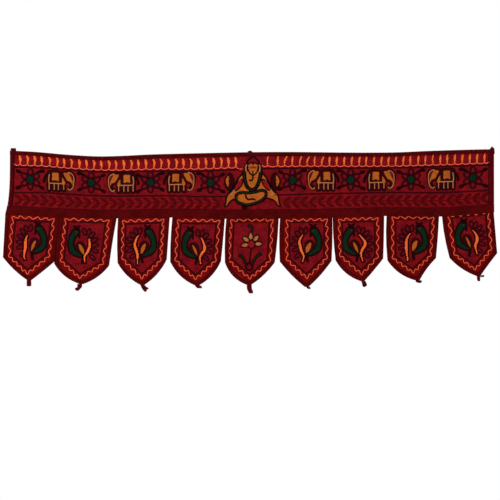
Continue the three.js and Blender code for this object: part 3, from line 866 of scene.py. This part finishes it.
for k, (x, depth) in enumerate(stars["at"]):
    place = motifAt(x, depth, 1 if k % 2 else -1)
    for cx, cz, angle in stars["petals"]:
        outline = place(petal(cx, cz, angle + rng.uniform(-4, 4), *stars["petal"]))
        sewPatch(outline, angle, "rose", 1.4, 0.5)
        sewLine(outline, stars["petalWide"], "plum", closed=True)
    for arm in stars["arms"]:
        line = place(smooth(arm, steps=5))
        sewLine(line, stars["armWide"], "dark")
        lean = math.degrees(math.atan2(*(line[-1] - line[-9])[::-1]))
        sewPatch(strokeOf(line[-11:], stars["knobWide"], stars["knob"]), lean, "dark", 1.4, 1.0)
    disc = place(ring(0, 1.6, *stars["disc"]))
    sewLine(pushedOut(disc, stars["rim"]), stars["rimWide"], "dark", closed=True)
    sewPatch(disc, 0, "green", 1.4, 0.9, over)

elephant = {
    "at": [(-384, 57.5, 1), (-257, 58, -1), (-144, 59, 1), (143, 57, -1), (256, 57.5, 1), (383, 58, -1)],
    "ground": [(-24, 17), (-19, 22.5), (-5, 22.5), (6, 22), (14, 23), (21, 23), (28, 20), (32, 13),
               (31.5, 5), (30, -3), (27.5, -10), (22, -15.5), (17, -15.5), (16.5, -10), (20, -9), (22, -5),
               (20.5, -1.5), (15, -0.5), (12.8, -5), (12.5, -18), (8.5, -19.5), (5, -18), (3, -14),
               (1.5, -18.5), (-2, -19.5), (-5.5, -18), (-6.2, -14), (-7, -18.5), (-10, -19.5),
               (-13.6, -18), (-15, -14), (-16.5, -18.5), (-20.5, -20), (-24, -17), (-24.8, -5)],
    "blanket": [(-14.2, 17.2), (-8, 17.8), (-1, 17.4), (-0.8, 10), (-1, 2.4), (-8, 3), (-14.6, 2.4),
                (-14.4, 10)],
    "head": [(8.5, 18.5), (13, 19.6), (19, 20), (21.6, 15.4), (24, 9), (26.6, 4), (26.6, -4), (24.6, -3),
             (23, 0.4), (19, 2.4), (15, 4.6), (12.4, 9), (9, 15)],
    "trunk": [(17, 21), (22.5, 19.6), (27.2, 15.4), (29, 9), (28.8, 1), (27.8, -6), (25.6, -11.4),
              (21.8, -14.8), (18.4, -14.6), (17, -11.6)],
    "chest": [(6, 9.4), (9.4, 5), (12, -1), (11, -4.4), (5.6, -4), (5.4, 4)],
    "slit": [(20.6, 17.6), (24.2, 13.6), (26.8, 7.6)],
    "belly": [(-21, -3.6), (-10, -3.2), (0, -3), (9, -3.4)],
    "legs": [(-20.4, -16), (-10.2, -16), (-2, -16), (8.6, -15)], "legTop": -3.4, "legWide": 2.3,
    "rump": [(-19.6, 14.6), (-21.2, 5), (-20.6, -4)],
    "tail": [(-22, 16), (-26, 12.4), (-29.4, 6), (-31, -3.6)],
}
for x, depth, facing in elephant["at"]:
    place = motifAt(x, depth, facing)
    line = lambda name: place(smooth(elephant[name]))
    loop = lambda name: place(smooth(elephant[name], closed=True, steps=5))
    sewLine(line("tail"), 6.0, "dark")
    sewPatch(loop("ground"), 0, "plum", 2.0, 0.55)
    sewLine(loop("ground"), 2.6, "dark", 0.6, closed=True)
    sewPatch(loop("blanket"), 0, "ochre", 1.45, 0.75, over)
    for leg, foot in elephant["legs"]:
        shin = [(leg, elephant["legTop"]), (leg + 0.2, -10), (leg, foot), (leg - 0.6, foot - 0.4)]
        sewLine(place(smooth(shin, steps=5)), elephant["legWide"], "tan", 0.8, over)
    for name in ("belly", "rump"):
        sewLine(line(name), 2.6, "tan", 0.9, over)
    for name, angle in (("chest", 60), ("head", 20)):
        sewPatch(loop(name), angle * facing, "ochre", 1.45, 0.8, over)
    sewLine(line("trunk"), 2.4, "tan", 0.9, over)
    sewLine(line("slit"), 4.2, "dark", 0.7, over + 0.35)
    sewLine(line("slit"), 2.0, "crimson", 0.8, over + 0.65)
print("stars and elephants sewn")


# The middle of the band: a seated elephant-headed figure with a leaf at each side
figure = {
    "at": (1, 57),
    "side": [(13, 19), (19, 15), (25, 10), (31, 1), (36.5, -9), (42, -18.5), (48.5, -24), (52, -31),
             (53, -39), (56, -48.5)],
    "sideBack": [(50.5, -46.5), (46, -39.5), (40, -35), (33, -33), (26, -31)],
    "crown": [(-9.5, 34), (-9, 39.5), (-5, 43.5), (2, 48.5), (8.4, 43.5), (12.6, 39.5), (13, 34),
              (2, 36.5)],
    "face": [(-6.5, 33), (-2, 35), (2, 35.6), (6, 35), (10.4, 33), (10.6, 25), (8.4, 18), (2, 13), (-4, 18),
             (-6.8, 25)],
    "brow": [(-5, 28.5), (-1.6, 26.4), (2, 28.2), (5.6, 26.4), (9, 28.5)],
    "mark": [(2, 37.4), (4.2, 34), (2, 30.6), (-0.2, 34)],
    "ears": [[(-10.4, 33), (-12.2, 28), (-11.8, 22), (-10.4, 18)],
             [(14.2, 33), (16, 28), (15.6, 22), (14.2, 18)]],
    "trunk": [(1.6, 21), (1.8, 12), (1.4, 5.5), (-0.8, 2), (-4.2, 2.4), (-4.6, 5)],
    "tusks": [[(-6.4, 18.5), (-3.6, 14.6), (-1.4, 15.6)], [(10, 18.5), (7, 14.6), (5, 15.6)]],
    "beads": [(-15.5, 21), (-15.2, 11), (-13, -2), (-8.4, -11.5), (0.5, -16), (8.6, -11), (13.6, -1),
              (16.6, 10), (18, 22)],
    "sleeve": [(20.5, 3), (27, -5.5), (34, -15.5)],
    "legs": [(-32, -31), (-29.5, -24.5), (-20, -21.4), (-6, -22), (8, -20), (19, -17.4), (27, -20),
             (27, -28), (20.5, -35), (9, -40.5), (-8, -44.5), (-22, -42), (-29.5, -38)],
    "fold": [(-13, -24.5), (-11.4, -31), (-6.5, -34.5), (1, -33.4), (7, -36)],
    "seat": [(-21, -45.6), (-9, -46.4), (-9, -53.6), (-20, -53.8)],
    "leaf": [(45, 17), (39, 9), (37, 0), (39.5, -9), (46, -17.5), (52.5, -10), (55.5, 0), (52, 9)],
    "drop": [(48.4, 12), (50.4, 1), (49, -10)],
}
place = motifAt(*figure["at"])
soft = lambda points, closed=False: place(smooth(points, closed))
both = lambda name, way: [(way * x + 1, z) for x, z in figure[name]]
body = both("side", -1)[::-1] + both("side", 1) + both("sideBack", 1) + both("sideBack", -1)[::-1]
sewPatch(place(body), 0, "ochre", 1.5)
for way in (1, -1):
    side = both("side", way)
    sewLine(soft(side), 4.2, "dark", 0.9, 0.8)
    sewLine(soft([(x - way * 3.4, z - 1.8) for x, z in side[2:7]]), 2.2, "tan", 0.6, over)
    sewLine(soft(side[-1:] + both("sideBack", way)), 4.0, "dark", 0.9, 0.8)
    sleeve = bladeOf(soft(both("sleeve", way)), 5.6, 0.3, 0.3)
    sewLine(pushedOut(sleeve, 1.2), 3.6, "dark", 0.8, over - 0.1, closed=True)
    sewPatch(sleeve, -50 * way, "crimson", 1.4, 0.8, over + 0.2)
    leaf = soft(both("leaf", way), True)
    sewPatch(leaf, 90, "plum", 1.8, 0.6)
    sewLine(leaf, 3.6, "dark", closed=True)
    sewPatch(bladeOf(soft(both("drop", way)), 5.4, 0.1), 80, "ochre", 1.4, 0.8, over)
for ear in figure["ears"]:
    sewLine(soft(ear), 8.4, "dark")
    sewLine(soft(ear), 3.2, "tan", 0.8, over + 0.3)
crown, face, legs = (soft(figure[name], True) for name in ("crown", "face", "legs"))
sewPatch(crown, 90, "rose", 1.4, 0.9)
sewLine(crown, 4.4, "dark", 0.9, 0.9, closed=True)
sewLine(pushedOut(face, 0.8), 3.4, "dark", 0.8, over - 0.1, closed=True)
sewPatch(face, 90, "ochre", 1.4, 0.8, over)
sewLine(soft(figure["brow"]), 3.4, "crimson", 0.7, over + 0.5)
sewPatch(place(figure["mark"]), 90, "dark", 1.2, 0.7, over + 0.5)
for points, wide in [(figure["trunk"], 3.2)] + [(tusk, 2.6) for tusk in figure["tusks"]]:
    sewLine(soft(points), wide, "dark", 0.8, over + 0.4)
sewLine(soft(figure["beads"]), 9.0, "dark", 0.9, over)
sewLine(soft(figure["beads"]), 2.0, "green", 0.8, over + 0.5)
sewPatch(legs, 0, "ochre", 1.5, 0.8, over - 0.2)
sewLine(legs, 8.4, "dark", 0.9, over, closed=True)
sewLine(legs, 2.0, "green", 0.8, over + 0.5, closed=True)
sewLine(soft(figure["fold"]), 4.2, "dark", 0.8, over + 0.3)
sewPatch(place(figure["seat"]), 0, "dark", 1.6, 0.8)
print("middle figure sewn")


# The flags' borders and motifs
border = {"lineInside": 5.7, "lineWide": 4.0, "swing": 2.4, "pitches": [18, 13.5, 13.5, 18, 17],
          "waveWide": 1.7, "cornerSwing": 0.35, "cornerReach": 10, "waveRises": 0.4,
          "risen": [(1, 0), (0, 0), (0, 0), (0, 1), (1, 1)]}
peacock = {
    "plume": [(0, 0.35), (0.15, 0.62), (0.32, 0.85), (0.5, 1), (0.65, 0.85), (0.82, 0.5), (1, 0.34)],
    "fan": [(3.5, 30.5, 77), (-5.2, 29.5, 108), (-12.4, 23.2, 135), (-17, 13.8, 158), (-18.5, 2.6, 180),
            (-17.4, -9, 197), (-12.5, -21.5, 220)],
    "petal": (14, 6.4), "petalLine": 4.6, "featherWide": 5.2,
    "wing": [(14, 5), (9.5, -4), (5, -16)],
    "ground": [(2, -16), (0.5, -4), (3, 6), (9, 11), (16, 10.5), (21.5, 5), (22, -2), (17, -9), (11, -15),
               (6, -19)],
    "body": [(17, 36), (22.5, 35), (27, 31), (31, 24), (34, 15), (35.4, 5), (34.4, -4), (31, -11),
             (25, -16), (17, -19.5), (9, -20.5), (8.5, -17), (13, -13.5), (18.5, -9.5), (23.5, -4.5),
             (26, 2), (25.4, 9), (22.5, 16.5), (18.5, 22), (14.6, 26), (13.6, 31)],
    "head": [(12.6, 32), (13.6, 37.4), (18.6, 39.2), (23.8, 36), (22, 32.4), (17, 31)],
    "crest": [[(17.5, 37), (14.5, 40), (11, 42)], [(19, 37), (22, 40), (25.5, 41.5)]],
    "beak": [(14.4, 33), (13.2, 24), (13.8, 16)], "eye": (19, 29.4, 1.7),
    "leg": [(5.6, -17), (6.6, -26), (8.4, -34.6)],
}
flower = {
    "hook": [(0, 23), (2, 30), (1, 36), (-4, 37), (-7, 33)],
    "heart": 7, "petals": [(-1, 16, 90), (-11, 10, 145), (10, 12, 48), (-13, -2, 190), (15, 0.5, 0)],
    "petal": (13.5, 6.5),
    "stem": [(0.2, -8), (-1.6, -20), (-3.6, -37)],
    "leaves": [[(-26, -22), (-20, -24), (-14, -32), (-11, -40)], [(22, -18), (12, -24), (6, -32), (2, -38)]],
    "base": (-4, -45, 7),
}


def sewPeacock(sewLine, sewPatch, place, flag):
    line = lambda points: place(smooth(points))
    loop = lambda name: place(smooth(peacock[name], closed=True, steps=5))
    for cx, cz, angle in peacock["fan"]:
        sway = rng.uniform(-1, 1, 3)
        outline = place(petal(cx + 0.7 * sway[0], cz + 0.7 * sway[1], angle + 5 * sway[2], *peacock["petal"]))
        sewPatch(outline, angle, "rose", 1.4, 0.5)
        sewLine(outline, peacock["petalLine"], "plum", closed=True)
    sewPatch(loop("ground"), 60, "plum", 2.0, 0.6)
    sewLine(line(peacock["leg"]), 6.5, "dark", 0.8)
    body = loop("body")
    sewLine(pushedOut(body, 0.7), 4.6, "dark", 0.8, closed=True)
    sewPatch(pushedOut(body, -0.8), 62 * flag["facing"], "green", 1.4, 0.75, over - 0.25)
    sewPatch(loop("head"), 0, "dark", 1.4, 0.8, over)
    for points in (*peacock["crest"], peacock["beak"]):
        sewLine(line(points), 4.8, "dark")
    sewPatch(place(ring(*peacock["eye"], steps=10)), 0, "rose", 1.3, 0.6, over + 0.35)
    sewPatch(bladeOf(line(peacock["wing"]), flag["wing"], 0.3), 60, "ochre", 1.35, 0.8, over)
    feather = strokeOf(line(flag["feather"]), peacock["featherWide"], peacock["plume"])
    sewLine(pushedOut(feather, 1.3), 4.2, "dark", 0.7, closed=True)
    sewPatch(feather, 90, "orange", 1.35, 0.9, over - 0.2)


def sewFlower(sewLine, sewPatch, place, flag):
    line = lambda points: place(smooth(points))
    sewLine(line(flower["stem"]), 3.0, "dark")
    for points, wide in [(leaf, 7.5) for leaf in flower["leaves"]] + [(flower["hook"], 6.5)]:
        sewLine(line(points), wide, "dark", 0.8)
        sewLine(line(points), wide * 0.35, "green", 0.8, over)
    for cx, cz, angle in flower["petals"]:
        outline = place(petal(cx, cz, angle, *flower["petal"]))
        sewLine(pushedOut(outline, 0.9), 3.4, "dark", 0.8, closed=True)
        sewPatch(outline, angle, "tan", 1.35, 0.8, over - 0.2)
    heart = place(ring(0, 0, flower["heart"]))
    sewLine(pushedOut(heart, 0.8), 3.6, "dark", 0.8, closed=True)
    sewPatch(heart, 0, "crimson", 1.4, 0.8, over - 0.2)
    sewLine(place(ring(*flower["base"])), 4.6, "dark", closed=True)


for number, flag in enumerate(flags, 1):
    needles = needlesOn("flags_left" if number < 5 else "flags_right", onFlag(flag))
    places, ways, edges = aroundWave(flag, 1.0)
    wave, raised = [], []
    for at, way, long, pitch, (start, end) in zip(places, ways, edges, border["pitches"], border["risen"]):
        t = np.arange(len(at)) / len(at)
        turns = max(2, round(long / pitch))
        swing = border["swing"] * (1 + 0.15 * np.sin(t * 17 + number))
        swing *= np.minimum(1, border["cornerSwing"] + np.minimum(t, 1 - t) * long / border["cornerReach"])
        wave.append(at - way * (swing * np.cos(2 * np.pi * turns * t))[:, None])
        raised.append(flag["rise"] * (start + (end - start) * t))
    wave, raised = np.concatenate(wave), np.concatenate(raised)
    wave[:, 1] += border["waveRises"] * raised
    needles[0](wave, border["waveWide"], "salmon", 0.8, 0.86, closed=True)
    line = np.concatenate(places) + np.concatenate(ways) * border["lineInside"]
    line[:, 1] += raised
    needles[0](line, border["lineWide"], "plum", 0.8, closed=True)
    place = lambda points: np.asarray(points, float) * (flag["facing"] or 1, 1) + flag["motif"]
    (sewPeacock if flag["facing"] else sewFlower)(*needles, place, flag)
print("flags sewn")


# Sewing thread: the running stitches that hold the tapes and the strip
running = {"long": 2.3, "pitch": 3.4, "wide": 0.5, "high": 0.28, "inside": 7.0, "stripEdge": 1.3,
           "section": [(-0.5, -0.2), (-0.32, 0.9), (0.32, 0.9), (0.5, -0.2)]}
front = tape["outer"]


def runStitches(surface, line, *bases):
    line = respaced(line, 0.5)
    s = runOf(line)
    for base in bases:
        for start in np.arange(1.0, s[-1] - running["long"], running["pitch"]):
            t = start + np.array([0, 0.3, 0.7, 1]) * running["long"]
            spots = placesAt(t, s, line)
            way = spots[-1] - spots[0]
            side = np.array([-way[1], way[0]]) / np.hypot(*way)
            wide = running["wide"] * np.array([0.5, 1, 1, 0.5])
            high = running["high"] * np.array([-0.3, 1, 1, -0.3])
            across, up = np.array(running["section"]).T
            around = spots[:, None] + side * (wide[:, None] * across)[..., None]
            index, quads = tubeQuads(4, 4)
            quads = np.concatenate([quads, [index[0, ::-1], index[3]]])
            points = surface(around, base + math.copysign(1, base) * (high[:, None] * up))
            addSewn("maroon", "tapes", points, alongUv(t, across), quads if base > 0 else quads[:, ::-1],
                    np.zeros((0, 3), int))


u = np.linspace(hang["bandLeft"] + 3, hang["bandRight"] - 3, 300)
runStitches(onBand, bandFlat(u, running["inside"] + 0 * u), front, -front)
for depth in (tape["stripTop"] + running["stripEdge"], hang["bandDepth"] - running["stripEdge"]):
    runStitches(onBand, bandFlat(u, depth + 0 * u), front)
depth = np.linspace(tape["sideTop"] + 1, tape["sideFoot"] - 1, 60)
for edge in (hang["bandLeft"] + running["inside"], hang["bandRight"] - running["inside"]):
    runStitches(onBand, bandFlat(edge + 0 * depth, depth), front, -front)
for flag in flags:
    at, inwards, along = flagEdge(flag)
    runStitches(onFlag(flag), at + inwards * running["inside"], front, -front)

for (colour, lot), pile in sewn.items():
    name = f"{colour}_thread_{lot}"
    points, quads, uv, tris = (np.concatenate(pile[key]) for key in ("points", "quads", "uv", "tris"))
    newPiece(name, points, quads, uv, colour, tris)
    print(name, 2 * len(quads) + len(tris), "triangles")

# Camera, light and floor
studio = {"lens": 108, "camera": (-0.003, -3.0, -0.1958), "floorZ": -1.2, "floorSize": 2.4,
          "lights": [("keyLight", (-1.8, -2.4, 1.4), 1.6, 84), ("fillLight", (1.7, -2.4, 0.3), 2.0, 10),
                     ("backLight", (0.4, 2.2, 1.0), 1.8, 26)],
          "world": 0.65}
camera = bpy.data.objects.new("camera", bpy.data.cameras.new("camera"))
camera.data.lens, camera.data.sensor_width = studio["lens"], 36
camera.location, camera.rotation_euler = studio["camera"], (math.pi / 2, 0, 0)
bpy.context.scene.collection.objects.link(camera)
bpy.context.scene.camera = camera
for name, spot, size, power in studio["lights"]:
    light = bpy.data.objects.new(name, bpy.data.lights.new(name, "AREA"))
    light.data.shape, light.data.size, light.data.energy = "DISK", size, power
    light.location = spot
    way = -np.array(spot) + (0, 0, -0.13)
    light.rotation_euler = (math.atan2(math.hypot(way[0], way[1]), -way[2]), 0,
                            math.atan2(way[1], way[0]) - math.pi / 2)
    bpy.context.scene.collection.objects.link(light)
world = bpy.data.worlds.new("studio")
world.use_nodes = True
backdrop = world.node_tree.nodes["Background"].inputs
backdrop["Color"].default_value = (1, 1, 1, 1)
seen = addNode(world.node_tree, "LightPath").outputs["Is Camera Ray"]
world.node_tree.links.new(ranged(world.node_tree, seen, 0, 1, studio["world"], 1.0), backdrop["Strength"])
bpy.context.scene.world = world
bpy.context.scene.view_settings.view_transform = "Standard"

t = np.linspace(0, 2 * np.pi, 96, endpoint=False)
rim = np.stack([np.cos(t), np.sin(t), 0 * t], 1) * studio["floorSize"] * 1000
floorMesh = bpy.data.meshes.new("floor")
floorMesh.from_pydata([tuple(p) for p in rim * mm + (0, 0, studio["floorZ"])], [], [list(range(96))])
floor = bpy.data.objects.new("floor", floorMesh)
bpy.context.scene.collection.objects.link(floor)
paint = bpy.data.materials.new("paleFloor")
paint.use_nodes = True
paint.node_tree.nodes["Principled BSDF"].inputs["Base Color"].default_value = (0.86, 0.85, 0.83, 1)
paint.node_tree.nodes["Principled BSDF"].inputs["Roughness"].default_value = 0.8
floorMesh.materials.append(paint)
print("camera, light and floor set")
